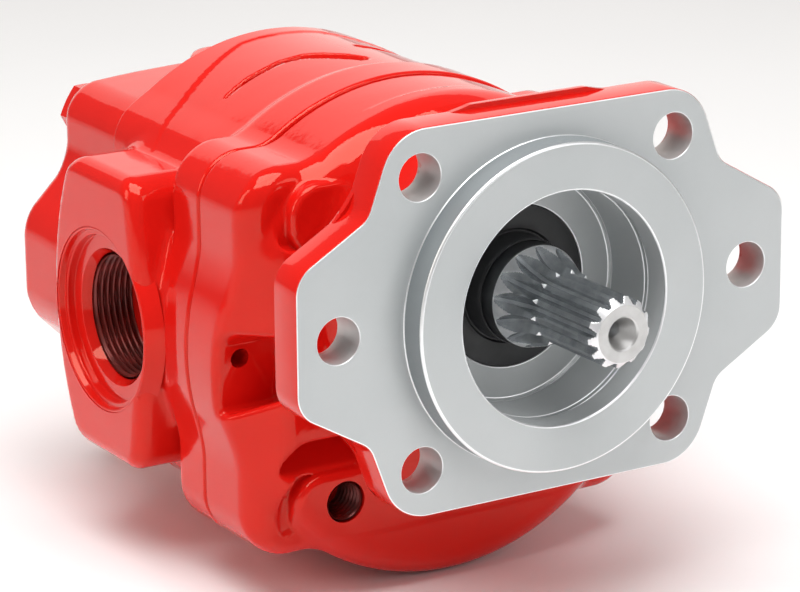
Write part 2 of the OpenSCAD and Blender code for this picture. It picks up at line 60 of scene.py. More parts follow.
# Stations along the pump, behind the mounting face
FLANGE_BACK = 13.0
BODY_FRONT = 50.0
JOINT_1 = 85.0
JOINT_2 = 167.5
REAR_END = 210.0

# The shaft's axis is at height 0, the driven gear's is below it, and this is their middle
MID_Z = -25.5
GEAR_CENTRES = 51.0
JOURNAL_BORE_R = 20.6

# Round body, lobes and square body
BODY_R = 78.0
LOBE_X, LOBE_Z, LOBE_R = 57.0, 47.0, 15.5
WALL_X = 57.5
BLOCK_Z = 58.0
BLOCK_R = 12.0

# Flange: one quarter of its outline, its pilot, front bore and holes
FLANGE_CORNERS = [(53.6, 59.6, 15.5), (62.7, 34.8, 8.0), (87.0, 20.7, 10.0)]
PILOT_R = 50.8
PILOT_H = 9.4
BORE_R = 36.15
BORE_FLOOR = 20.0
SEAL_R = 25.5
HOLE_R = 7.15
HOLE_AT = 44.9
EAR_HOLE_X = 73.0
HOLES = [
    (HOLE_AT, HOLE_AT), (HOLE_AT, -HOLE_AT), (-HOLE_AT, -HOLE_AT), (-HOLE_AT, HOLE_AT),
    (EAR_HOLE_X, 0.0), (-EAR_HOLE_X, 0.0),
]

# Tie bolts, clockwise from the upper right one
TIE_X, TIE_Z = 42.0, 45.0
TIE_HOLE_R = 6.8
TAPPED_HOLE_R = 6.75
TIES = [
    (TIE_X, MID_Z + TIE_Z), (TIE_X, MID_Z - TIE_Z),
    (-TIE_X, MID_Z - TIE_Z), (-TIE_X, MID_Z + TIE_Z),
]

# Port on each side
PORT_X, PORT_Y = 84.0, 131.8
PORT_MOUTH_R = 30.2
SPOT_R = 28.8
THREAD_R = 19.5
THREAD_ROOT_R = 20.7


# Meshes

def add_mesh(name, points, faces, materials, slots, angle):
    """New object from points in mm and faces, smooth except at edges sharper than angle degrees."""
    mesh = bpy.data.meshes.new(name)
    mesh.from_pydata((np.asarray(points, float) * MM).tolist(), [], faces)
    for material in materials:
        mesh.materials.append(material)
    if slots is not None:
        mesh.polygons.foreach_set("material_index", np.asarray(slots, np.int32))
    mesh.polygons.foreach_set("use_smooth", np.ones(len(mesh.polygons), bool))
    mesh.update()
    if angle is not None:
        mesh.set_sharp_from_angle(angle=math.radians(angle))
    piece = bpy.data.objects.new(name, mesh)
    bpy.context.scene.collection.objects.link(piece)
    return piece


def ring_faces(rings, around, first=0):
    """Quads between successive rings of the same number of points, each ring closed on itself."""
    row = np.arange(rings - 1)[:, None] * around
    a = np.arange(around)[None, :]
    b = (a + 1) % around
    quads = np.stack([row + a, row + around + a, row + around + b, row + b], axis=-1) + first
    return quads.reshape(-1, 4)


def turned(name, profile, materials, slots=None, centre=(0.0, 0.0), around=192, angle=30.0):
    """Turned piece about an axis along Y: each [radius, station] of the closed profile is carried
    round a circle, so a point is (radius sin t, station, radius cos t) from the centre.
    The profile runs clockwise as seen with the radius to the right and the station upwards."""
    profile = np.asarray(profile, float)
    t = np.linspace(0, 2 * np.pi, around, endpoint=False)
    x = centre[0] + profile[:, 0, None] * np.sin(t)
    z = centre[1] + profile[:, 0, None] * np.cos(t)
    y = np.broadcast_to(profile[:, 1, None], x.shape)
    points = np.stack([x, y, z], axis=-1).reshape(-1, 3)
    closed = np.vstack([np.arange(len(profile)), np.roll(np.arange(len(profile)), -1)]).T
    a = np.arange(around)
    b = (a + 1) % around
    faces = [
        np.stack([i * around + a, j * around + a, j * around + b, i * around + b], axis=-1)
        for i, j in closed
    ]
    index = None if slots is None else np.repeat(slots, around)
    return add_mesh(name, points, np.concatenate(faces).tolist(), materials, index, angle)


def soft_path(corners, steps, closed=True):
    """Outline through [u, v, radius] corners, each turned on an arc of its radius."""
    corners = np.asarray(corners, float)
    count = len(corners)
    out = []
    for i in range(count):
        b, r = corners[i, :2], corners[i, 2]
        if r <= 0 or (not closed and i in (0, count - 1)):
            out.append(b[None])
            continue
        u = corners[i - 1, :2] - b
        w = corners[(i + 1) % count, :2] - b
        u, w = u / np.hypot(*u), w / np.hypot(*w)
        half = math.acos(np.clip(u @ w, -1, 1)) / 2
        middle = b + (u + w) / np.hypot(*(u + w)) * r / math.sin(half)
        start = b + u * r / math.tan(half) - middle
        turn = -1 if u[0] * w[1] - u[1] * w[0] > 0 else 1
        t = turn * (math.pi - 2 * half) * np.linspace(0, 1, steps + 1)
        out.append(middle + np.stack([
            start[0] * np.cos(t) - start[1] * np.sin(t), start[0] * np.sin(t) + start[1] * np.cos(t)
        ], axis=-1))
    return np.concatenate(out)


# Cast shapes, each given by its distance: below nought inside, above nought outside

def join_round(a, b, r):
    """Both solids as one, with a hollow fillet of radius r where their surfaces meet."""
    return np.maximum(r, np.minimum(a, b)) - np.hypot(np.maximum(r - a, 0), np.maximum(r - b, 0))


def meet_round(a, b, r):
    """What both solids share, with the edge between their surfaces rounded to radius r."""
    return np.minimum(-r, np.maximum(a, b)) + np.hypot(np.maximum(r + a, 0), np.maximum(r + b, 0))


def cut_round(a, b, r):
    """Solid a without solid b, with the rim of the cut rounded to radius r."""
    return meet_round(a, -b, r)


def disc(u, v, r):
    """Distance to a round bar of radius r along the third axis."""
    return np.hypot(u, v) - r


def soft_rectangle(u, v, half_u, half_v, r):
    """Distance to a rectangular bar with corners of radius r."""
    a = np.abs(u) - half_u + r
    b = np.abs(v) - half_v + r
    return np.hypot(np.maximum(a, 0), np.maximum(b, 0)) + np.minimum(np.maximum(a, b), 0) - r


def bent_bar(u, v, path):
    """Distance to a bar that follows [u, v, half width] points."""
    out = None
    for (u0, v0, h0), (u1, v1, h1) in zip(path, path[1:]):
        du, dv = u1 - u0, v1 - v0
        t = np.clip(((u - u0) * du + (v - v0) * dv) / (du * du + dv * dv), 0, 1)
        part = np.hypot(u - u0 - t * du, v - v0 - t * dv) - h0 - t * (h1 - h0)
        out = part if out is None else np.minimum(out, part)
    return out


def between(t, low, high):
    """Distance to the slab from low to high."""
    return np.maximum(low - t, t - high)


def lines(low, high, step, fine=()):
    """Grid lines about step apart, closer in each (from, to, step) band of fine."""
    stops = sorted({low, high} | {a for band in fine for a in band[:2]})
    out = [np.array([low])]
    for a, b in zip(stops, stops[1:]):
        size = min([step] + [f[2] for f in fine if f[0] <= a and b <= f[1]])
        out.append(np.linspace(a, b, max(1, round((b - a) / size)) + 1)[1:])
    return np.concatenate(out)


def slope(field, p):
    """Unit direction in which the distance grows, from its differences at four corners about p."""
    corner = np.array([[1, 1, 1], [1, -1, -1], [-1, 1, -1], [-1, -1, 1]], float)
    n = sum(c * field(*(p + 0.02 * c).T)[:, None] for c in corner)
    return n / np.maximum(np.linalg.norm(n, axis=1, keepdims=True), 1e-12)


SECANT_ROUNDS = 4


def crossings(field, value, axes, axis):
    """Points where the surface crosses the grid edges along one axis, with the four cells round
    each edge, in the order that turns the quad outwards. Each point is where the distance is
    nought between the two ends of its edge, found by a few rounds of straight interpolation."""
    inside = value < 0
    low = [slice(None)] * 3
    high = [slice(None)] * 3
    low[axis], high[axis] = slice(0, -1), slice(1, None)
    at = np.argwhere(inside[tuple(low)] != inside[tuple(high)])
    others = [(axis + 1) % 3, (axis + 2) % 3]
    for o in others:
        at = at[(at[:, o] > 0) & (at[:, o] < value.shape[o] - 1)]
    end = at.copy()
    end[:, axis] += 1
    p = np.stack([axes[i][at[:, i]] for i in range(3)], axis=-1)
    q = np.stack([axes[i][end[:, i]] for i in range(3)], axis=-1)
    a, b = value[tuple(at.T)], value[tuple(end.T)]
    starts_inside = a < 0
    for _ in range(SECANT_ROUNDS):
        m = p + (q - p) * np.clip(a / (a - b), 0.02, 0.98)[:, None]
        v = field(*m.T)
        same = (v < 0) == (a < 0)
        p, a = np.where(same[:, None], m, p), np.where(same, v, a)
        q, b = np.where(same[:, None], q, m), np.where(same, b, v)
    point = p + (q - p) * (a / (a - b))[:, None]
    shape = [n - 1 for n in value.shape]
    cells = []
    for du, dv in ((-1, -1), (0, -1), (0, 0), (-1, 0)):
        c = at.copy()
        c[:, others[0]] += du
        c[:, others[1]] += dv
        cells.append((c[:, 0] * shape[1] + c[:, 1]) * shape[2] + c[:, 2])
    cells = np.stack(cells, axis=-1)
    cells[~starts_inside] = cells[~starts_inside, ::-1]
    return point, cells


def cast(name, field, xs, ys, zs, materials):
    """Closed skin of the solid whose distance is field(x, y, z), on the grid with these lines.
    Each crossed grid edge gives a point and its tangent plane. Each crossed cell gets the one
    point nearest all of its tangent planes, so edges stay crisp. Each crossed edge joins its four
    cells by a quad. The normals are the slope of the distance beside each corner."""
    axes = [xs, ys, zs]
    shape = tuple(len(a) for a in axes)
    value = field(xs[:, None, None], ys[None, :, None], zs[None, None, :])
    value = np.ascontiguousarray(np.broadcast_to(value, shape))
    found = [crossings(field, value, axes, axis) for axis in range(3)]
    point = np.concatenate([f[0] for f in found])
    quads = np.concatenate([f[1] for f in found])
    normal = slope(field, point)
    cell, vertex = np.unique(quads, return_inverse=True)
    vertex = vertex.reshape(-1)
    count = len(cell)
    owner = np.repeat(np.arange(len(point)), 4)

    def total(w):
        return np.bincount(vertex, weights=w[owner], minlength=count)

    number = np.bincount(vertex, minlength=count)
    middle = np.stack([total(point[:, i]) for i in range(3)], axis=-1) / number[:, None]
    spread = np.empty((count, 3, 3))
    for i in range(3):
        for j in range(3):
            spread[:, i, j] = total(normal[:, i] * normal[:, j])
    reach = np.einsum("ij,ij->i", normal, point)
    pull = np.stack([total(normal[:, i] * reach) for i in range(3)], axis=-1)
    pull -= np.einsum("nij,nj->ni", spread, middle)
    size, turn = np.linalg.eigh(spread)
    keep = size > 0.1 * size[:, 2:3]
    part = np.einsum("nji,nj->ni", turn, pull) * np.where(keep, 1 / np.maximum(size, 1e-9), 0)
    place = middle + np.einsum("nij,nj->ni", turn, part)
    yz = (shape[1] - 1) * (shape[2] - 1)
    i, j, k = cell // yz, cell % yz // (shape[2] - 1), cell % (shape[2] - 1)
    low = np.stack([xs[i], ys[j], zs[k]], axis=-1)
    high = np.stack([xs[i + 1], ys[j + 1], zs[k + 1]], axis=-1)
    place = np.clip(place, low, high)
    faces = vertex.reshape(-1, 4)
    centre = place[faces].mean(axis=1)
    piece = add_mesh(name, place, faces.tolist(), materials, None, None)
    beside = place[faces] + 0.25 * (centre[:, None] - place[faces])
    piece.data.normals_split_custom_set(slope(field, beside.reshape(-1, 3)).tolist())
    return piece


# Materials

def material(name):
    """Empty node material with its shader."""
    mat = bpy.data.materials.new(name)
    mat.use_nodes = True
    tree = mat.node_tree
    shader = tree.nodes["Principled BSDF"]
    return mat, tree, shader


def noise(tree, scale, detail):
    """Noise on Object coordinates, in waves per metre."""
    place = tree.nodes.new("ShaderNodeTexCoord")
    node = tree.nodes.new("ShaderNodeTexNoise")
    node.inputs["Scale"].default_value = scale
    node.inputs["Detail"].default_value = detail
    tree.links.new(place.outputs["Object"], node.inputs["Vector"])
    return node.outputs["Fac"]


def ramp(tree, fac, stops):
    """Colour ramp through (place, colour) stops."""
    node = tree.nodes.new("ShaderNodeValToRGB")
    while len(node.color_ramp.elements) < len(stops):
        node.color_ramp.elements.new(0.5)
    for element, (place, colour) in zip(node.color_ramp.elements, stops):
        element.position = place
        element.color = (*colour, 1.0)
    tree.links.new(fac, node.inputs["Fac"])
    return node.outputs["Color"]


def bump(tree, height, distance, strength, under=None):
    """Bump of a height, in metres, on top of another bump."""
    node = tree.nodes.new("ShaderNodeBump")
    node.inputs["Distance"].default_value = distance
    node.inputs["Strength"].default_value = strength
    tree.links.new(height, node.inputs["Height"])
    if under is not None:
        tree.links.new(under, node.inputs["Normal"])
    return node.outputs["Normal"]


def red_enamel():
    """Thick glossy red enamel: a saturated base under a warm gloss and a thin clear one, with the
    broad waviness of the casting beneath and a faint orange peel."""
    mat, tree, shader = material("red_enamel")
    colour = ramp(tree, noise(tree, 24, 3), [
        (0.3, (0.63, 0.0085, 0.0055)), (0.7, (0.69, 0.0105, 0.0065))
    ])
    tree.links.new(colour, shader.inputs["Base Color"])
    shader.inputs["Roughness"].default_value = 0.07
    shader.inputs["Specular IOR Level"].default_value = 0.42
    shader.inputs["Specular Tint"].default_value = (1.0, 0.60, 0.42, 1)
    shader.inputs["Coat Weight"].default_value = 0.12
    shader.inputs["Coat Roughness"].default_value = 0.03
    shader.inputs["Coat IOR"].default_value = 1.5
    wave = bump(tree, noise(tree, 45, 1.0), 0.0011, 0.2)
    peel = bump(tree, noise(tree, 520, 1.0), 0.00003, 0.5, wave)
    tree.links.new(peel, shader.inputs["Normal"])
    tree.links.new(peel, shader.inputs["Coat Normal"])
    return mat


def grey_satin(name, dark, light):
    """Light grey satin coat over machined metal, with a fine even grain."""
    mat, tree, shader = material(name)
    colour = ramp(tree, noise(tree, 18, 4), [(0.35, dark), (0.65, light)])
    tree.links.new(colour, shader.inputs["Base Color"])
    rough = ramp(tree, noise(tree, 900, 2), [(0.3, (0.30, 0.30, 0.30)), (0.7, (0.42, 0.42, 0.42))])
    tree.links.new(rough, shader.inputs["Roughness"])
    shader.inputs["Metallic"].default_value = 0.25
    grain = bump(tree, noise(tree, 2600, 2), 0.00002, 0.35)
    tree.links.new(grain, shader.inputs["Normal"])
    return mat


def bore_metal():
    """Bare metal of a drilled hole, redder with its depth, where red paint blew in from behind."""
    mat, tree, shader = material("bore_metal")
    place = tree.nodes.new("ShaderNodeTexCoord")
    split = tree.nodes.new("ShaderNodeSeparateXYZ")
    tree.links.new(place.outputs["Object"], split.inputs["Vector"])
    depth = tree.nodes.new("ShaderNodeMapRange")
    depth.inputs["From Min"].default_value = 0.004
    depth.inputs["From Max"].default_value = 0.018
    tree.links.new(split.outputs["Y"], depth.inputs["Value"])
    blend = tree.nodes.new("ShaderNodeMath")
    blend.operation = "MULTIPLY_ADD"
    tree.links.new(noise(tree, 300, 4), blend.inputs[0])
    blend.inputs[1].default_value = 0.7
    tree.links.new(depth.outputs["Result"], blend.inputs[2])
    colour = ramp(tree, blend.outputs["Value"], [
        (0.35, (0.52, 0.51, 0.505)), (0.95, (0.62, 0.59, 0.58)), (1.5, (0.60, 0.36, 0.34))
    ])
    tree.links.new(colour, shader.inputs["Base Color"])
    shader.inputs["Metallic"].default_value = 0.45
    shader.inputs["Roughness"].default_value = 0.42
    return mat


def steel(name, dark, light, rough, grain=0.0, metal=1.0):
    """Machined steel with a fine mottle, and turning marks of a given depth."""
    mat, tree, shader = material(name)
    colour = ramp(tree, noise(tree, 240, 4), [(0.3, dark), (0.7, light)])
    tree.links.new(colour, shader.inputs["Base Color"])
    shader.inputs["Metallic"].default_value = metal
    shader.inputs["Roughness"].default_value = rough
    if grain:
        tree.links.new(bump(tree, noise(tree, 1800, 2), grain, 0.5), shader.inputs["Normal"])
    return mat


def black_rubber():
    """Moulded black rubber with a dull bloom."""
    mat, tree, shader = material("black_rubber")
    colour = ramp(tree, noise(tree, 120, 4), [
        (0.3, (0.026, 0.026, 0.027)), (0.7, (0.038, 0.038, 0.040))
    ])
    tree.links.new(colour, shader.inputs["Base Color"])
    rough = ramp(tree, noise(tree, 260, 3), [(0.3, (0.38, 0.38, 0.38)), (0.7, (0.55, 0.55, 0.55))])
    tree.links.new(rough, shader.inputs["Roughness"])
    tree.links.new(bump(tree, noise(tree, 2200, 2), 0.00002, 0.4), shader.inputs["Normal"])
    return mat


def thread_dark():
    """Oiled thread in cast metal with red paint on it, a dark red-brown that varies at random."""
    mat, tree, shader = material("thread_dark")
    colour = ramp(tree, noise(tree, 160, 4), [
        (0.3, (0.10, 0.018, 0.014)), (0.7, (0.24, 0.028, 0.022))
    ])
    tree.links.new(colour, shader.inputs["Base Color"])
    shader.inputs["Metallic"].default_value = 0.4
    shader.inputs["Roughness"].default_value = 0.3
    return mat


RED = red_enamel()
GREY = grey_satin("grey_satin", (0.50, 0.525, 0.53), (0.54, 0.56, 0.565))
# Darker copy of the grey satin, for the pilot's outer wall: painted shade
SHADED_PILOT_GREY = grey_satin("grey_pilot_wall_painted_shade", (0.24, 0.265, 0.275), (0.28, 0.30, 0.31))
BORE = bore_metal()
SHAFT = steel("spline_steel", (0.42, 0.44, 0.46), (0.66, 0.68, 0.70), 0.20, 0.00003)
# Near-white finish for rounded edges and rims: painted highlight lines
EDGE_HIGHLIGHT = steel("edge_painted_highlight", (0.86, 0.87, 0.88), (0.96, 0.97, 0.98), 0.42)
# Lighter steel for the flare and uncut ridges: partly their turned finish, partly painted glints
FLARE_AND_GLINT = steel("flare_steel_painted_glint", (0.74, 0.75, 0.77), (0.93, 0.93, 0.94), 0.3, 0.00004, 0.6)
JOURNAL = steel("oiled_journal", (0.13, 0.135, 0.14), (0.17, 0.175, 0.18), 0.30)
FACE = steel("ground_end", (0.56, 0.555, 0.55), (0.66, 0.655, 0.65), 0.42, 0.00001)
GEAR_STEEL = steel("gear_steel", (0.40, 0.40, 0.41), (0.52, 0.52, 0.53), 0.25, 0.00001)
PLAIN_STEEL = steel("plain_steel", (0.46, 0.46, 0.47), (0.60, 0.60, 0.61), 0.3, 0.00001)
BRONZE = steel("bearing_bronze", (0.52, 0.30, 0.13), (0.66, 0.42, 0.20), 0.35, 0.00002)
RUBBER = black_rubber()
THREAD = thread_dark()


# Castings

def body_disc(x, z):
    """Distance to the round body, whose axis is midway between the gear axes."""
    return disc(x, z - MID_Z, BODY_R)


def lobes(x, z):
    """Distance to the rectangle whose rounded corners are the four lobes."""
    return soft_rectangle(x, z - MID_Z, LOBE_X + LOBE_R, LOBE_Z + LOBE_R, LOBE_R)


def bolt_holes(x, z, r):
    """Distance to four round bars of radius r on the axes of the tie bolts."""
    return disc(np.abs(x) - TIE_X, np.abs(z - MID_Z) - TIE_Z, r)


def gear_pair(x, z, r):
    """Distance to two round bars of radius r on the gear axes."""
    return np.minimum(disc(x, z, r), disc(x, z + GEAR_CENTRES, r))


def flange_form(x, z, inset):
    """Distance to the flange's outline, inset: a tapered middle joined to two pointed ears. Each
    straight side is the distance from one of its corners along the side's own normal."""
    (shoulder_x, top_z, _), (waist_x, waist_z, _), (tip_x, _, _) = FLANGE_CORNERS
    ax, az = np.abs(x), np.abs(z)
    top = az - top_z + inset
    flank = 0.939 * (ax - shoulder_x) + 0.345 * (az - top_z) + inset
    ear = 0.502 * (ax - waist_x) + 0.865 * (az - waist_z) + inset
    tip = ax - tip_x + inset
    return join_round(meet_round(top, flank, 14), np.maximum(meet_round(ear, tip, 9), top), 8)


# Pads round the bolt holes: half width, level of their middle, half height and corner radius
PAD_X, PAD_LEVEL, PAD_Z, PAD_R = 59, 46.5, 11.5, 10


def pad_outline(x, z):
    """Distance to the outline of the pads round the bolt holes, above and below mid height."""
    return soft_rectangle(x, np.abs(z - MID_Z) - PAD_LEVEL, PAD_X, PAD_Z, PAD_R)


def pad_hollows(x, y, z):
    """Hollow beside the pads: between pad and hub its floor slopes back from the edge of the pad,
    and a narrow moat runs round the pad's outer corner. Above mid height the deep part ends at a
    45 degree slant. Below it the moat starts nearer to mid height and is deeper."""
    upper = z > MID_Z
    ax, level = np.abs(x), np.abs(z - MID_Z)
    deep = soft_rectangle(ax - 46.5, level - 35, 17, 11.5, 10)
    deep_floor = np.clip(50 + 1.15 * (36 - level), 46, 61.5)
    deep = meet_round(deep, y - deep_floor, 2)
    deep = meet_round(deep, DIAGONAL * np.where(upper, ax - level - 24, -9), 4)
    moat_low = np.where(upper, 38, 35)
    moat = between(pad_outline(x, z), -1, 3.8)
    moat = meet_round(moat, np.maximum(38 - ax, moat_low - level), 2)
    moat_floor = np.where(upper, 54.6, 56.4) - 0.12 * np.maximum(60 - ax, 0)
    moat = meet_round(moat, y - moat_floor, 1.4)
    moat = meet_round(moat, level - 0.35 * ax - 33.5, 2.5)
    return join_round(deep, moat, 2.5)


# Side pocket: station and height of its seat's middle, its bottom and top, and its inner end
POCKET_Y, POCKET_Z = 67, -28
POCKET_LOW, POCKET_HIGH = -41.5, -15
POCKET_X = 54


def side_pocket(x, y, z):
    """Pocket in the side: a flat seat facing forwards, which leans forwards a little with height,
    between a level top and a bottom that rises by half of the way forwards."""
    low = POCKET_LOW - z + 0.5 * (POCKET_Y - y)
    seat = np.maximum(low, z - POCKET_HIGH)
    seat = meet_round(seat, y - POCKET_Y + 0.12 * (z - POCKET_Z), 4)
    return meet_round(seat, POCKET_X - np.abs(x), 4)


# Front cover: fronts of the lobes, the 45 degree cuts, the hub with its waist, where the upper
# tapped holes start, the clearance behind the flange's holes, the throat behind the bore, and the
# small hole in each pocket
LOBE_FRONT = 55.5
CUT_AT = 11.4
WAIST_R, WAIST_Y = 43.5, 32
WAIST_REACH, WAIST_RISE = 19, 5.5
HUB_END = 60
TAPPED_FROM = 60
HOLE_CLEAR_R = 7.6
THROAT_R = 18
SIDE_HOLE_X, SIDE_HOLE_Z, SIDE_HOLE_R, SIDE_HOLE_END = 69.2, -23.5, 3.1, 77


def front_outside(x, y, z):
    """Outside of the front cover behind its flange: a round body and four lobes, cut back at 45
    degrees on each side, with pads round the bolt holes, hollows beside them, a pocket in each
    side, and a hub whose radius grows with the square of the way from its waist."""
    body = meet_round(body_disc(x, z), BODY_FRONT - y, 10)
    corner = meet_round(lobes(x, z), LOBE_FRONT - y, 7)
    body = join_round(body, corner, 2.5)
    body = meet_round(body, DIAGONAL * (np.abs(x) - y - CUT_AT), 2.2)
    proud = np.where(z > MID_Z, BODY_FRONT - y, body)
    pads = meet_round(proud, pad_outline(x, z), 2)
    body = cut_round(body, pad_hollows(x, y, z), 1.4)
    body = join_round(body, pads, 0.8)
    body = cut_round(body, side_pocket(x, y, z), 2.6)
    from_waist = (np.minimum(y, WAIST_Y + WAIST_REACH) - WAIST_Y) / WAIST_REACH
    hub = disc(x, z, WAIST_R + WAIST_RISE * from_waist ** 2)
    hub = np.maximum(hub, y - HUB_END)
    body = join_round(body, hub, 6)
    back = meet_round(flange_form(x, z, 0.8), y - FLANGE_BACK + 0.05, 0.3)
    body = join_round(body, back, 6)
    body = np.maximum(body, FLANGE_BACK - 2 - y)
    return meet_round(body, y - JOINT_1, 1.6)


def front_field(x, y, z):
    """Front cover: its outside, without the flange's holes, the front bore with its floor, throat
    and seal seat, the journal bores, the tapped holes and the small hole in each pocket. The two
    upper tapped holes are closed in front. Where a machined piece lines a bore, the casting stays
    a little clear of it."""
    holes = disc(np.abs(x) - HOLE_AT, np.abs(z) - HOLE_AT, HOLE_CLEAR_R)
    holes = np.minimum(holes, disc(np.abs(x) - EAR_HOLE_X, z, HOLE_CLEAR_R))
    holes = np.maximum(holes, y - 30)
    body = np.maximum(front_outside(x, y, z), -holes)
    bore = np.maximum(disc(x, z, BORE_R + 0.6), y - BORE_FLOOR - 0.6)
    bore = np.minimum(bore, disc(x, z, THROAT_R))
    bore = np.minimum(bore, np.maximum(disc(x, z, SEAL_R + 0.5), y - 32.5))
    bore = np.minimum(bore, np.maximum(gear_pair(x, z, JOURNAL_BORE_R), 54 - y))
    closed_off = np.minimum(TAPPED_FROM - y, z - MID_Z)
    bore = np.minimum(bore, np.maximum(bolt_holes(x, z, TAPPED_HOLE_R), closed_off))
    side_hole = disc(np.abs(x) - SIDE_HOLE_X, z - SIDE_HOLE_Z, SIDE_HOLE_R)
    bore = np.minimum(bore, np.maximum(side_hole, y - SIDE_HOLE_END))
    return np.maximum(body, -bore)


def dome(x, z, r):
    """Round top and bottom of radius r within the walls of the square body."""
    round_part = meet_round(disc(x, z - MID_Z, r), np.abs(x) - WALL_X, 3.5)
    square_part = soft_rectangle(x, z - MID_Z, WALL_X, BLOCK_Z, BLOCK_R)
    return join_round(round_part, square_part, 6)


# Port boss: its middle, its half height, and the station and radius of each bowed edge
BOSS_Z, BOSS_HALF = -23.75, 48.25
BOSS_FRONT, FRONT_BOW = 104, 197
BOSS_REAR, REAR_BOW = 166.3, 96


def boss_form(y, z):
    """Port boss seen from the side: a bowed rear edge, a nearly straight front edge, level ends."""
    rear = disc(y - (BOSS_REAR - REAR_BOW), z - BOSS_Z, REAR_BOW)
    front = disc(y - (BOSS_FRONT + FRONT_BOW), z - BOSS_Z, FRONT_BOW)
    return meet_round(meet_round(rear, front, 7), np.abs(z - BOSS_Z) - BOSS_HALF, 7)


# Slots on the housing's top, as points of [x, y, half width]
LEFT_SLOT = [
    (-38, 128.4, 0.3), (-30, 129.8, 0.9), (-16, 130.6, 1.2), (-9, 129, 2.0), (-4, 125.2, 2.8),
    (0.5, 120.4, 3.1), (4, 115.5, 2.8),
]
RIGHT_SLOT = [(17, 136, 2.6), (28, 134.8, 3.0), (40, 132, 2.6)]
SLOT_FLOOR_R = 74.8


def top_slots(x, y, z):
    """Two shallow slots across the top, the left one bent forwards at its inner end."""
    outline = np.minimum(bent_bar(x, y, LEFT_SLOT), bent_bar(x, y, RIGHT_SLOT))
    floor = disc(x, z - MID_Z, SLOT_FLOOR_R)
    return np.maximum(meet_round(outline, -floor, 0.9), -z)


# Gear housing: end of its front band, the slanted rise, the gear chamber and the bore across it
BAND_END = 103
RISE, RISE_WIDTH = 0.5, 2.5
RISE_AT, RISE_LEVEL_X, RISE_SLANT = 158, 15, 0.47
CHAMBER_R = 30.2
CROSS_Y, CROSS_R = 128.8, 14


def housing_field(x, y, z):
    """Gear housing: a front band with lobes, a domed body between straight walls that rises a
    little behind a slanted line, a raised boss round each port, shallow slots on the top, the gear
    chamber, and the bore that joins the two ports. The rise is an S curve, 3 t^2 - 2 t^3."""
    band = join_round(body_disc(x, z), lobes(x, z), 2.5)
    band = meet_round(band, y - BAND_END, 3)
    edge = RISE_AT - RISE_SLANT * np.maximum(np.abs(x) - RISE_LEVEL_X, 0)
    rise = np.clip((y - edge) / RISE_WIDTH, 0, 1)
    body = dome(x, z, BODY_R - RISE * (1 - rise ** 2 * (3 - 2 * rise)))
    body = join_round(body, band, 4)
    boss = meet_round(boss_form(y, z), np.abs(x) - PORT_X, 5.5)
    body = join_round(body, boss, 6)
    body = meet_round(body, JOINT_1 - y, 1.4)
    body = meet_round(body, y - JOINT_2, 0.9)
    body = cut_round(body, top_slots(x, y, z), 0.9)
    mouth = np.maximum(disc(y - PORT_Y, z - MID_Z, PORT_MOUTH_R), 62 - np.abs(x))
    inner = np.minimum(gear_pair(x, z, CHAMBER_R), disc(y - CROSS_Y, z - MID_Z, CROSS_R))
    inner = np.minimum(np.minimum(inner, mouth), bolt_holes(x, z, TIE_HOLE_R))
    return np.maximum(body, -inner)


# Rear cover: crown of its top and bottom, side bosses, top boss and washer seats
CROWN = 3.0
SIDE_WALL_X, SIDE_FLAT_Z, SIDE_Z = 75.0, 15.5, 37
SIDE_FRONT, SIDE_REAR = 170.5, 208.5
TOP_BOSS_Y, TOP_BOSS_R, TOP_BOSS_Z = 194.5, 13.5, 39.0
WASHER_SEAT_R, WASHER_SEAT_Y = 12.75, 209
JOURNAL_BORE_END = 201


def rear_field(x, y, z):
    """Rear cover: a block whose top and bottom are crowned with the square of x, a sloping blank
    boss on each side and a small round one on top, with seats for the washers in its rear face."""
    level = np.abs(z - MID_Z)
    crown = CROWN * (1 - (x / WALL_X) ** 2)
    block = soft_rectangle(x, level - crown, WALL_X, BLOCK_Z, BLOCK_R)
    block = meet_round(block, y - REAR_END, 7)
    reach = np.abs(x) - SIDE_WALL_X
    side = meet_round(reach, DIAGONAL * (reach + level - SIDE_FLAT_Z), 5)
    side = np.maximum(side, level - SIDE_Z)
    side = meet_round(side, np.maximum(SIDE_FRONT - y, y - SIDE_REAR), 6)
    body = join_round(block, side, 5)
    top = meet_round(disc(x, y - TOP_BOSS_Y, TOP_BOSS_R), z - TOP_BOSS_Z, 1.5)
    top = np.maximum(top, -z)
    body = join_round(body, top, 2.5)
    body = meet_round(body, JOINT_2 - y, 0.9)
    seat = np.maximum(bolt_holes(x, z, WASHER_SEAT_R), WASHER_SEAT_Y - y)
    inner = np.maximum(gear_pair(x, z, JOURNAL_BORE_R), y - JOURNAL_BORE_END)
    inner = np.minimum(inner, bolt_holes(x, z, TIE_HOLE_R))
    return np.maximum(body, -np.minimum(inner, seat))


# The grids end just outside the castings, and are closer where an edge or a groove needs it
STEP = 1.25
HOUSING_STEP = 1.2 * STEP
front_casting = cast(
    "front_casting", front_field, lines(-89, 89, STEP),
    lines(9.5, 87, STEP, [(49, 56, 0.8), (83.3, 86.3, 0.35)]), lines(-106, 62, STEP), [RED])
housing_casting = cast(
    "housing_casting", housing_field, lines(-86, 86, HOUSING_STEP, [(-40, 42, 1.05)]),
    lines(83, 170, HOUSING_STEP, [(83.6, 86.6, 0.4), (112, 140, 0.9), (166.2, 168.6, 0.35)]),
    lines(-106, 55, HOUSING_STEP), [RED])
rear_casting = cast(
    "rear_casting", rear_field, lines(-78, 78, STEP), lines(166, 212, STEP, [(166.6, 169, 0.3)]),
    lines(-89, 41, STEP), [RED])


# Flange, pilot and front bore

def four_way(corners):
    """Corners of one quadrant, from the top to the side, mirrored into a whole outline."""
    turn = corners[::-1]
    return (
        corners + [(x, -z, r) for x, z, r in turn]
        + [(-x, -z, r) for x, z, r in corners] + [(-x, z, r) for x, z, r in turn]
    )


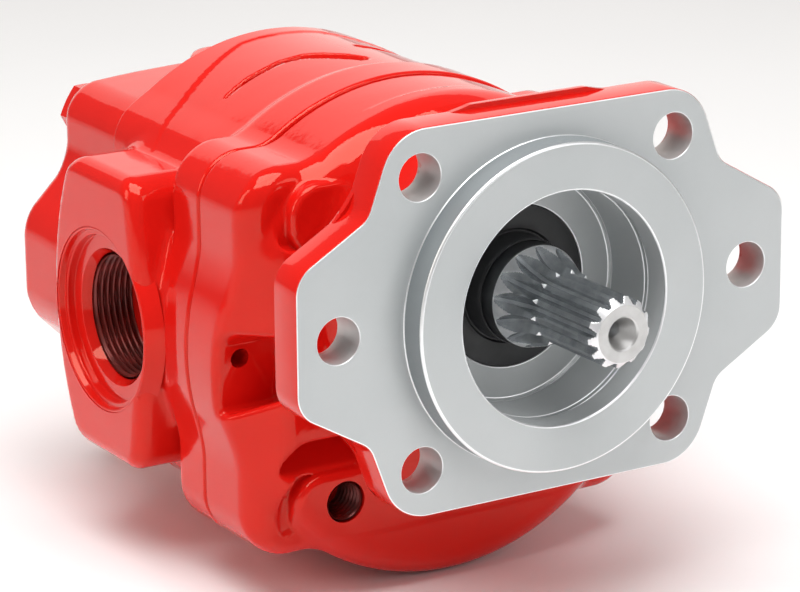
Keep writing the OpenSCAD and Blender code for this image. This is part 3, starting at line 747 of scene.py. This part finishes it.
def outward(loop):
    """Unit normals of a clockwise outline in X and Z."""
    along = np.roll(loop, -1, axis=0) - np.roll(loop, 1, axis=0)
    n = np.stack([-along[:, 1], along[:, 0]], axis=-1)
    return n / np.linalg.norm(n, axis=1, keepdims=True)


# Round of the plate's edges, that of the holes as a share of it, and the opening in the middle
EDGE_ROUND = 0.5
HOLE_ROUND = 0.55
CENTRE_R = 44
# The last finish, near-white, paints highlight lines on the rounded edges and rims
PLATE_FINISHES = [RED, GREY, BORE, EDGE_HIGHLIGHT]
PAINTED, SATIN, DRILLED, HIGHLIGHT_RIM = range(4)


def flange_plate():
    """Flange plate: its outline carried from front to back, moved inwards by the quarter round of
    each edge, and each hole the same the other way. The middle is open, under the pilot. Both
    faces are filled between the outlines. The round of the front edge, and the round of each
    hole's front rim, take a near-white finish: painted highlight lines."""
    turn = np.linspace(0, np.pi / 2, 5)[::-1]
    front = [(EDGE_ROUND * (1 - math.sin(t)), EDGE_ROUND * (1 - math.cos(t))) for t in turn]
    levels = front + [(FLANGE_BACK - y, inset) for y, inset in front[::-1]]
    t = np.linspace(0, 2 * np.pi, 64, endpoint=False)
    circle = np.stack([np.sin(t), np.cos(t)], axis=-1)
    loops = [(soft_path(four_way(FLANGE_CORNERS), 14), 1.0)]
    loops += [(np.array(at) + HOLE_R * circle, -HOLE_ROUND) for at in HOLES]
    loops.append((CENTRE_R * circle, 0.0))
    points, faces, slots, caps, first = [], [], [], ([], []), 0
    for loop, share in loops:
        rings = [loop - outward(loop) * inset * share for _, inset in levels]
        for (y, _), ring in zip(levels, rings):
            depth = abs(share) * min(y, FLANGE_BACK - y)
            station = depth if y < FLANGE_BACK / 2 else FLANGE_BACK - depth
            points.append(np.stack([ring[:, 0], np.full(len(ring), station), ring[:, 1]], axis=-1))
        quads = ring_faces(len(levels), len(loop), first)
        row = np.repeat(np.arange(len(levels) - 1), len(loop))
        # The front rounds of the outline and of the holes take the near-white finish: painted
        # highlight
        if share > 0:
            faces.extend(quads.tolist())
            slots.extend(np.where(row < 2, HIGHLIGHT_RIM, PAINTED).tolist())
        else:
            faces.extend(quads[:, ::-1].tolist())
            slots.extend(np.where(row < 4, HIGHLIGHT_RIM, DRILLED).tolist())
        caps[0].append((rings[0], first))
        caps[1].append((rings[-1], first + (len(levels) - 1) * len(loop)))
        first += len(levels) * len(loop)
    for finish, rims in zip((SATIN, PAINTED), caps):
        place = np.concatenate([ring for ring, _ in rims])
        index = np.concatenate([start + np.arange(len(ring)) for ring, start in rims])
        for corners in tessellate_polygon([[(u, v, 0.0) for u, v in ring] for ring, _ in rims]):
            a, b, c = place[list(corners)]
            area = (b[0] - a[0]) * (c[1] - a[1]) - (b[1] - a[1]) * (c[0] - a[0])
            triangle = index[list(corners)].tolist()
            faces.append(triangle[::-1] if (area < 0) == (finish == SATIN) else triangle)
            slots.append(finish)
    return add_mesh("flange_plate", np.concatenate(points), faces, PLATE_FINISHES, slots, 35)


plate = flange_plate()

# The short segments in front are its rounded edges, in a near-white finish that paints highlight
# lines on them, and the long one outside is the pilot's wall, in a darker grey: painted shade
pilot_path = soft_path([
    (43, 14, 0), (43, 22, 0), (28, 22, 0), (28, 33, 0), (SEAL_R, 33, 0), (SEAL_R, BORE_FLOOR, 0.4),
    (BORE_R - 0.9, BORE_FLOOR, 0.5), (BORE_R, BORE_FLOOR - 0.9, 0.5), (BORE_R, 1.8, 0.3),
    (37.5, 1.8, 0.3), (37.5, -0.2, 0.3), (BORE_R, -0.2, 0.3), (BORE_R, -PILOT_H, 0.6),
    (PILOT_R, -PILOT_H, 0.8), (PILOT_R, -0.001, 0.5), (51.6, 0.12, 0), (48, 3, 0),
], 5)[::-1]
segment = np.linalg.norm(np.roll(pilot_path, -1, axis=0) - pilot_path, axis=1)
rounded = (segment < 0.3) & (pilot_path[:, 1] < 25)
# The pilot's outer wall takes the darker grey, which paints the shade on it
wall = (segment > 4) & (pilot_path[:, 0] > PILOT_R - 0.1)
pilot_slots = np.where(wall, 2, np.where(rounded, 1, 0))
pilot_ring = turned(
    "pilot_ring", pilot_path, [GREY, EDGE_HIGHLIGHT, SHADED_PILOT_GREY], pilot_slots, around=256, angle=28)


# Threads and port mouths

def threaded(name, r_minor, r_major, pitch, start, stop, place, around, fade=2.0):
    """Inside of a threaded hole: the radius swings between the minor and major radii as a
    triangle wave of the depth less the turn, flattened at both ends of each swing. The wave grows
    from nothing over the first fade millimetres."""
    rows = max(2, round(abs(stop - start) / pitch * 12))
    depth = np.linspace(start, stop, rows + 1)[:, None]
    t = np.linspace(0, 2 * np.pi, around, endpoint=False)[None, :]
    phase = (depth / pitch - t / (2 * np.pi)) % 1.0
    wave = np.clip(1.35 * (1 - np.abs(2 * phase - 1)) - 0.15, 0, 1)
    into = np.clip(np.abs(depth - start) / fade, 0, 1)
    r = r_minor + (r_major - r_minor) * wave * into + (1 - into) * 0.35 * (r_major - r_minor)
    points = place(r, depth + 0 * t, t + 0 * depth).reshape(-1, 3)
    faces = ring_faces(rows + 1, around)
    return add_mesh(name, points, faces.tolist(), [THREAD], None, 40)


def port_place(side):
    """Place of (radius, depth, turn) about the port axis: the depth runs inwards from the face."""
    def place(r, depth, t):
        return np.stack([
            side * (PORT_X - depth), PORT_Y - side * r * np.sin(t), MID_Z + r * np.cos(t)
        ], axis=-1)
    return place


def port_mouth(side, name):
    """Machined mouth of a port, turned about the port axis: a shallow ledge, the sealing face, a
    chamfer and the top of the thread bore."""
    path = soft_path([
        (PORT_MOUTH_R + 3, 6, 0), (PORT_MOUTH_R + 0.3, 0.5, 0), (SPOT_R + 0.5, 0.0, 0.5),
        (SPOT_R, 2.2, 0.3), (27.2, 2.2, 0.5), (27.2, 5.0, 0.4), (22.4, 5.0, 0.3),
        (THREAD_ROOT_R, 8.0, 0),
    ], 4, closed=False)
    around = 192
    t = np.linspace(0, 2 * np.pi, around, endpoint=False)[None, :]
    points = port_place(side)(path[:, :1] + 0 * t, path[:, 1:] + 0 * t, t + 0 * path[:, :1])
    faces = ring_faces(len(path), around)
    return add_mesh(name, points.reshape(-1, 3), faces.tolist(), [RED], None, 30)


PORT_PITCH, TIE_PITCH = 2.117, 1.95

port_pieces = []
for side, word in ((-1, "left"), (1, "right")):
    port_pieces.append(port_mouth(side, f"{word}_port_mouth"))
    port_pieces.append(threaded(
        f"{word}_port_thread", THREAD_R, THREAD_ROOT_R, PORT_PITCH, 7.5, 27.0, port_place(side),
        160))

hole_pieces = []
for (x, z), word in zip(TIES[1:3], ("right", "left")):
    def tie_place(r, depth, t, x=x, z=z):
        return np.stack([x + r * np.sin(t), depth, z + r * np.cos(t)], axis=-1)
    hole_pieces.append(threaded(
        f"{word}_tie_thread", 5.75, 6.6, TIE_PITCH, BODY_FRONT + 0.2, 66.0, tie_place, 96, 1.5))


# Shaft seal

seal_path = soft_path([
    (SEAL_R, 20.0, 0.6), (SEAL_R, 32.0, 0), (24.7, 32.0, 0), (24.7, 20.8, 0), (20, 20.8, 0),
    (19, 23, 0), (18.2, 28.2, 0), (17.4, 29.2, 0), (16.5, 29.2, 0), (15.98, 28.2, 0),
    (16.5, 26.5, 0), (16.5, 14.5, 0), (15.98, 13.3, 0), (16.05, 12.3, 0.05), (16.3, 12.3, 0.1),
    (16.55, 13.5, 0.3), (16.7, 20.9, 0.3), (17.5, 20.9, 0.3), (17.9, 20.0, 0.3),
], 4)
seal = turned("seal_lips", seal_path, [RUBBER], angle=32)


# Shaft

# Splined end: radii, half widths of a gap at its floor and its rim, and the radius of the hob
SPLINE_R = 10.9
ROOT_R = 9.15
TEETH = 13
FLOOR_HALF, RIM_HALF = 0.56, 1.73
HOB_R = 22.4

# Stations along the shaft, and the radii of the journal and of the lip round the end face
SHAFT_FRONT, BEVEL_AT = -39.0, -36.7
STEP_AT, STEP_LONG, STEP_SLOPE = -9.0, 0.9, 1.2
FLARE_END = 6.5
JOURNAL_R = 15.875
LIP_R = 8.65
SHAFT_REAR = 198.5


def shaft_outside(y):
    """Radius of the shaft over its teeth and ridges: bevelled at the end, straight, a short step
    up, then a hollow curve out to the journal, as the 1.2 power of the way along the flare."""
    bevel = SPLINE_R - 0.98 * np.maximum(BEVEL_AT - y, 0)
    step = STEP_SLOPE * np.clip(y - STEP_AT, 0, STEP_LONG)
    s = np.clip((y - STEP_AT - STEP_LONG) / (FLARE_END - STEP_AT - STEP_LONG), 0, 1)
    return bevel + step + (JOURNAL_R - SPLINE_R - STEP_SLOPE * STEP_LONG) * s ** 1.2


def spline_rings(y):
    """Rings of the splined end at stations y. Along the teeth a gap has a floor at the root radius
    and flanks at 30 degrees. Towards the flare the floor rises on the round path of the hob and
    the flanks lean over a little more, so each gap ends in a leaf with its tip near the rim."""
    outside = shaft_outside(y)[:, None]
    land = np.pi / TEETH
    rim = RIM_HALF / SPLINE_R
    corner = FLOOR_HALF / ROOT_R
    u = np.concatenate([
        np.linspace(0, corner, 5), np.linspace(corner, rim, 9)[1:],
        np.linspace(rim, land, 9)[1:]])[None, :]
    lift = np.clip(y - STEP_AT + 0.5, 0, 16.0)[:, None]
    floor = ROOT_R + HOB_R - np.sqrt(HOB_R ** 2 - lift ** 2)
    lean = 0.577 + 0.03 * lift
    gap = np.maximum(floor / np.cos(u), floor + (floor * np.tan(u) - FLOOR_HALF) / lean)
    r = np.minimum(gap, outside)
    turn = np.concatenate([u, 2 * land - u[:, -2:0:-1]], axis=1)
    radius = np.concatenate([r, r[:, -2:0:-1]], axis=1)
    whole = (turn[:, None, :] + 2 * land * np.arange(TEETH)[None, :, None]).reshape(1, -1)
    return np.repeat(whole, len(y), axis=0), np.tile(radius, (1, TEETH))


def splined_shaft():
    """Whole drive shaft as a stack of rings: centre hole, end face, splined end, flare, journal.
    The ridges at the bevel, and from the step on, where the hob didn't cut them, take a lighter
    steel: partly their turned finish, partly a painted highlight for their glints."""
    y = np.concatenate([
        [SHAFT_FRONT + 0.05, -38.5, -38, -37.4, BEVEL_AT], np.linspace(-36, -13, 9),
        np.linspace(-12.5, FLARE_END, 77), [7.2, 14, 60, 88, 164, SHAFT_REAR - 1]])
    turn, radius = spline_rings(y)
    end = [(2.2, -29.5), (2.3, -33.6), (4.4, -37.4), (4.9, -38.6), (5.4, SHAFT_FRONT)]
    end_turn, lip = turn[:1], np.minimum(radius[:1], LIP_R)
    end_rows = len(end) + 2
    r = np.concatenate(
        [np.zeros_like(lip)] + [np.full_like(lip, size) for size, _ in end] + [lip, radius]
        + [np.full_like(lip, JOURNAL_R - 1), np.full_like(lip, 0.001)])
    t = np.concatenate([end_turn] * end_rows + [turn, end_turn, end_turn])
    stations = np.concatenate([
        [-28.0], [station for _, station in end], [SHAFT_FRONT], y, [SHAFT_REAR, SHAFT_REAR]])
    points = np.stack([r * np.sin(t), stations[:, None] + 0 * r, r * np.cos(t)], axis=-1)
    faces = ring_faces(len(stations), r.shape[1])
    rows = np.repeat(np.arange(len(stations) - 1), r.shape[1])
    middle = (stations[rows] + stations[rows + 1]) / 2
    proud = r.reshape(-1)[faces].mean(axis=1) > shaft_outside(middle) - 0.12
    bevel = (middle > SHAFT_FRONT + 0.03) & (middle < BEVEL_AT)
    slots = np.where((rows >= 1) & (rows < end_rows), 1, 0)
    # Uncut ridges take the lighter steel: partly their turned finish, partly painted glints
    slots = np.where(proud & ((middle > STEP_AT) | bevel), 2, slots)
    slots = np.where(middle > FLARE_END, 3, slots)
    finishes = [SHAFT, FACE, FLARE_AND_GLINT, JOURNAL]
    return add_mesh("splined_shaft", points.reshape(-1, 3), faces.tolist(), finishes, slots, 20)


GEAR_TEETH, GEAR_PITCH_R, GEAR_MODULE = 12, 25.5, 4.25
PRESSURE_ANGLE = math.radians(25)


def gear_outline():
    """Involute outline of a gear, clockwise in X and Z, as radii and turns. At a radius the half
    thickness of a tooth is its value on the pitch circle, less the backlash, plus the involute of
    the pressure angle, less the involute of that radius. The foot is a little wider."""
    base = GEAR_PITCH_R * math.cos(PRESSURE_ANGLE)
    tip, root = GEAR_PITCH_R + 0.965 * GEAR_MODULE, GEAR_PITCH_R - 1.2 * GEAR_MODULE
    radius = np.concatenate([[root], np.linspace(base, tip, 9)])
    roll = np.sqrt(np.maximum(radius / base, 1) ** 2 - 1)
    swing = roll - np.arctan(roll)
    at_pitch = math.tan(PRESSURE_ANGLE) - PRESSURE_ANGLE
    half = math.pi / (2 * GEAR_TEETH) - 0.16 / GEAR_PITCH_R + at_pitch - swing
    half[0] += 0.021
    turn = np.concatenate([-half, half[::-1]])
    r = np.concatenate([radius, radius[::-1]])
    t = (turn[None, :] + 2 * np.pi / GEAR_TEETH * np.arange(GEAR_TEETH)[:, None]).reshape(-1)
    return np.tile(r, GEAR_TEETH), t


def gear_teeth(name, low, high):
    """Teeth of the drive gear: the outline carried from low to high, bevelled and closed at both
    ends."""
    r, t = gear_outline()
    hub = np.full_like(r, 14.0)
    edge = 0.4
    rings = [
        (hub, low), (r - edge, low), (r, low + edge), (r, high - edge), (r - edge, high),
        (hub, high)]
    points = np.stack([
        np.stack([q * np.cos(t), np.full_like(q, y), q * np.sin(t)], axis=-1) for q, y in rings])
    faces = ring_faces(len(rings), len(r))[:, ::-1]
    return add_mesh(name, points.reshape(-1, 3), faces.tolist(), [GEAR_STEEL], None, 25)


shaft = splined_shaft()
drive_teeth = gear_teeth("drive_gear_teeth", 89.1, 163.4)


# Tie bolts and washers

HEAD_ACROSS = 19.05
SHANK_R = 6.35
WASHER_TOP = REAR_END + 1.5
HEAD_TOP = REAR_END + 9.5


def bolt_head(name, x, z):
    """Hexagon head and its shank, as a stack of rings. The radius of the hexagon is that of its
    flats over the cosine of the turn from the middle of a flat. A cone cuts back its corners."""
    around = 96
    t = np.linspace(0, 2 * np.pi, around, endpoint=False)
    flat = HEAD_ACROSS / 2
    hexagon = flat / np.cos((t + np.pi / 6) % (np.pi / 3) - np.pi / 6)
    crown = flat - 0.6
    corner = HEAD_TOP - np.maximum(hexagon - crown, 0) * 0.5
    rings = [
        (0.001, 64.0), (5.4, 64.0), (5.7, 64.8), (5.7, 82.0), (SHANK_R, 82.6),
        (SHANK_R, WASHER_TOP), (hexagon - 0.3, WASHER_TOP), (hexagon, WASHER_TOP + 0.3),
        (hexagon, corner - 0.1), (hexagon - 0.25, corner + 0.1), (crown, HEAD_TOP),
        (0.001, HEAD_TOP)]
    points = np.stack([
        np.stack([x + r * np.sin(t), y + 0 * t, z + r * np.cos(t)], axis=-1) for r, y in rings])
    faces = ring_faces(len(rings), around)
    return add_mesh(name, points.reshape(-1, 3), faces.tolist(), [RED], None, 28)


washer_path = soft_path([
    (6.6, REAR_END - 1, 0), (6.6, WASHER_TOP, 0.3), (12.15, WASHER_TOP, 0.5),
    (12.15, REAR_END - 1, 0),
], 3)[::-1]
bolts, washers = [], []
for number, (x, z) in enumerate(TIES, start=1):
    bolts.append(bolt_head(f"tie_bolt_{number}", x, z))
    washers.append(turned(
        f"tie_washer_{number}", washer_path, [RED], centre=(x, z), around=96))


# What stands for what

for piece in [front_casting, plate, pilot_ring] + hole_pieces:
    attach(piece, "pump_body")
    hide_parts("front_cover")
for piece in [housing_casting] + port_pieces:
    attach(piece, "pump_body")
    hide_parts("gear_housing")
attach(rear_casting, "pump_body")
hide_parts("rear_cover")
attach(seal, "pump_body")
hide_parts("seal_body")
for piece in bolts:
    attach(piece, "pump_body")
    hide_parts("tie_bolts")
for piece in washers:
    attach(piece, "pump_body")
    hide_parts("tie_bolt_washers")
for piece, slot in ((shaft, "shaft_steel"), (drive_teeth, "shaft_steel")):
    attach(piece, "drive_shaft")
    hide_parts("drive_gear_shaft")

FINISH = {
    "driven_gear_shaft": GEAR_STEEL, "front_drive_bushing": BRONZE, "front_driven_bushing": BRONZE,
    "rear_drive_bushing": BRONZE, "rear_driven_bushing": BRONZE, "front_thrust_plate": BRONZE,
    "rear_thrust_plate": BRONZE, "front_channel_seal": RUBBER, "rear_channel_seal": RUBBER,
    "front_joint_seal": RUBBER, "rear_joint_seal": RUBBER, "seal_insert": PLAIN_STEEL,
    "seal_spring": PLAIN_STEEL, "front_dowels": PLAIN_STEEL, "rear_dowels": PLAIN_STEEL,
    "front_cover": RED, "gear_housing": RED, "rear_cover": RED, "drive_gear_shaft": GEAR_STEEL,
    "seal_body": RUBBER, "tie_bolts": RED, "tie_bolt_washers": RED,
}
for name, finish in FINISH.items():
    for slot in NODES[name].material_slots:
        slot.material = finish


# Floor, lights and camera

def floor_finish():
    """Matt pale floor with a faint, broad mottle."""
    mat, tree, shader = material("pale_floor")
    colour = ramp(tree, noise(tree, 3, 2), [(0.3, (0.90, 0.90, 0.90)), (0.7, (0.92, 0.92, 0.92))])
    tree.links.new(colour, shader.inputs["Base Color"])
    shader.inputs["Roughness"].default_value = 0.8
    shader.inputs["Specular IOR Level"].default_value = 0.1
    return mat


FLOOR_REACH = 6000
floor_z = cad_box[0][2] / MM
floor = add_mesh(
    "floor", [(u * FLOOR_REACH, v * FLOOR_REACH, floor_z) for u, v in
              ((-1, -1), (1, -1), (1, 1), (-1, 1))],
    [(0, 1, 2, 3)], [floor_finish()], None, None)


def placing(x, y, z, at):
    """Placing of a lamp or the camera at a point, with its own three axes along x, y and z."""
    return Matrix([[x[i], y[i], z[i], at[i]] for i in range(3)] + [[0, 0, 0, 1]])


def softbox(name, place, aim, width, height, radiance, colour=(1, 1, 1)):
    """Rectangular light at place, facing aim, of an even brightness."""
    data = bpy.data.lights.new(name, "AREA")
    data.shape = "RECTANGLE"
    data.size, data.size_y = width, height
    data.energy = radiance * math.pi * width * height
    data.color = colour
    lamp = bpy.data.objects.new(name, data)
    bpy.context.scene.collection.objects.link(lamp)
    z = np.array(place, float) - np.array(aim, float)
    z /= np.linalg.norm(z)
    x = np.cross([0, 0, 1], z)
    x /= np.linalg.norm(x)
    y = np.cross(z, x)
    lamp.matrix_world = placing(x, y, z, place)


AIM = (0.0, 0.09, -0.02)
softbox("overhead", (-0.25, -0.2, 1.35), AIM, 1.3, 1.1, 5.9)
softbox("backdrop", (1.3, 2.25, 0.85), AIM, 4.2, 1.9, 0.86, (1.0, 0.92, 0.86))
softbox("left_bank", (-1.7, 0.35, 0.75), AIM, 0.55, 1.1, 3.7, (1.0, 0.92, 0.86))
softbox("front_fill", (0.9, -1.5, 0.9), AIM, 1.2, 1.0, 2.2)

world = bpy.data.worlds.new("studio")
world.use_nodes = True
world.node_tree.nodes["Background"].inputs["Color"].default_value = (1.0, 0.98, 0.96, 1)
world.node_tree.nodes["Background"].inputs["Strength"].default_value = 0.22
bpy.context.scene.world = world
bpy.context.scene.view_settings.view_transform = "Standard"

camera_data = bpy.data.cameras.new("camera")
camera_data.lens = 167.3
camera_data.sensor_width = 36.0
camera_data.clip_end = 30.0
camera = bpy.data.objects.new("camera", camera_data)
bpy.context.scene.collection.objects.link(camera)
camera.matrix_world = placing(
    (0.8526, -0.5225, -0.0082), (0.1568, 0.2407, 0.9578), (-0.4985, -0.8180, 0.2872),
    (-0.5920, -0.8859, 0.3213))
bpy.context.scene.camera = camera
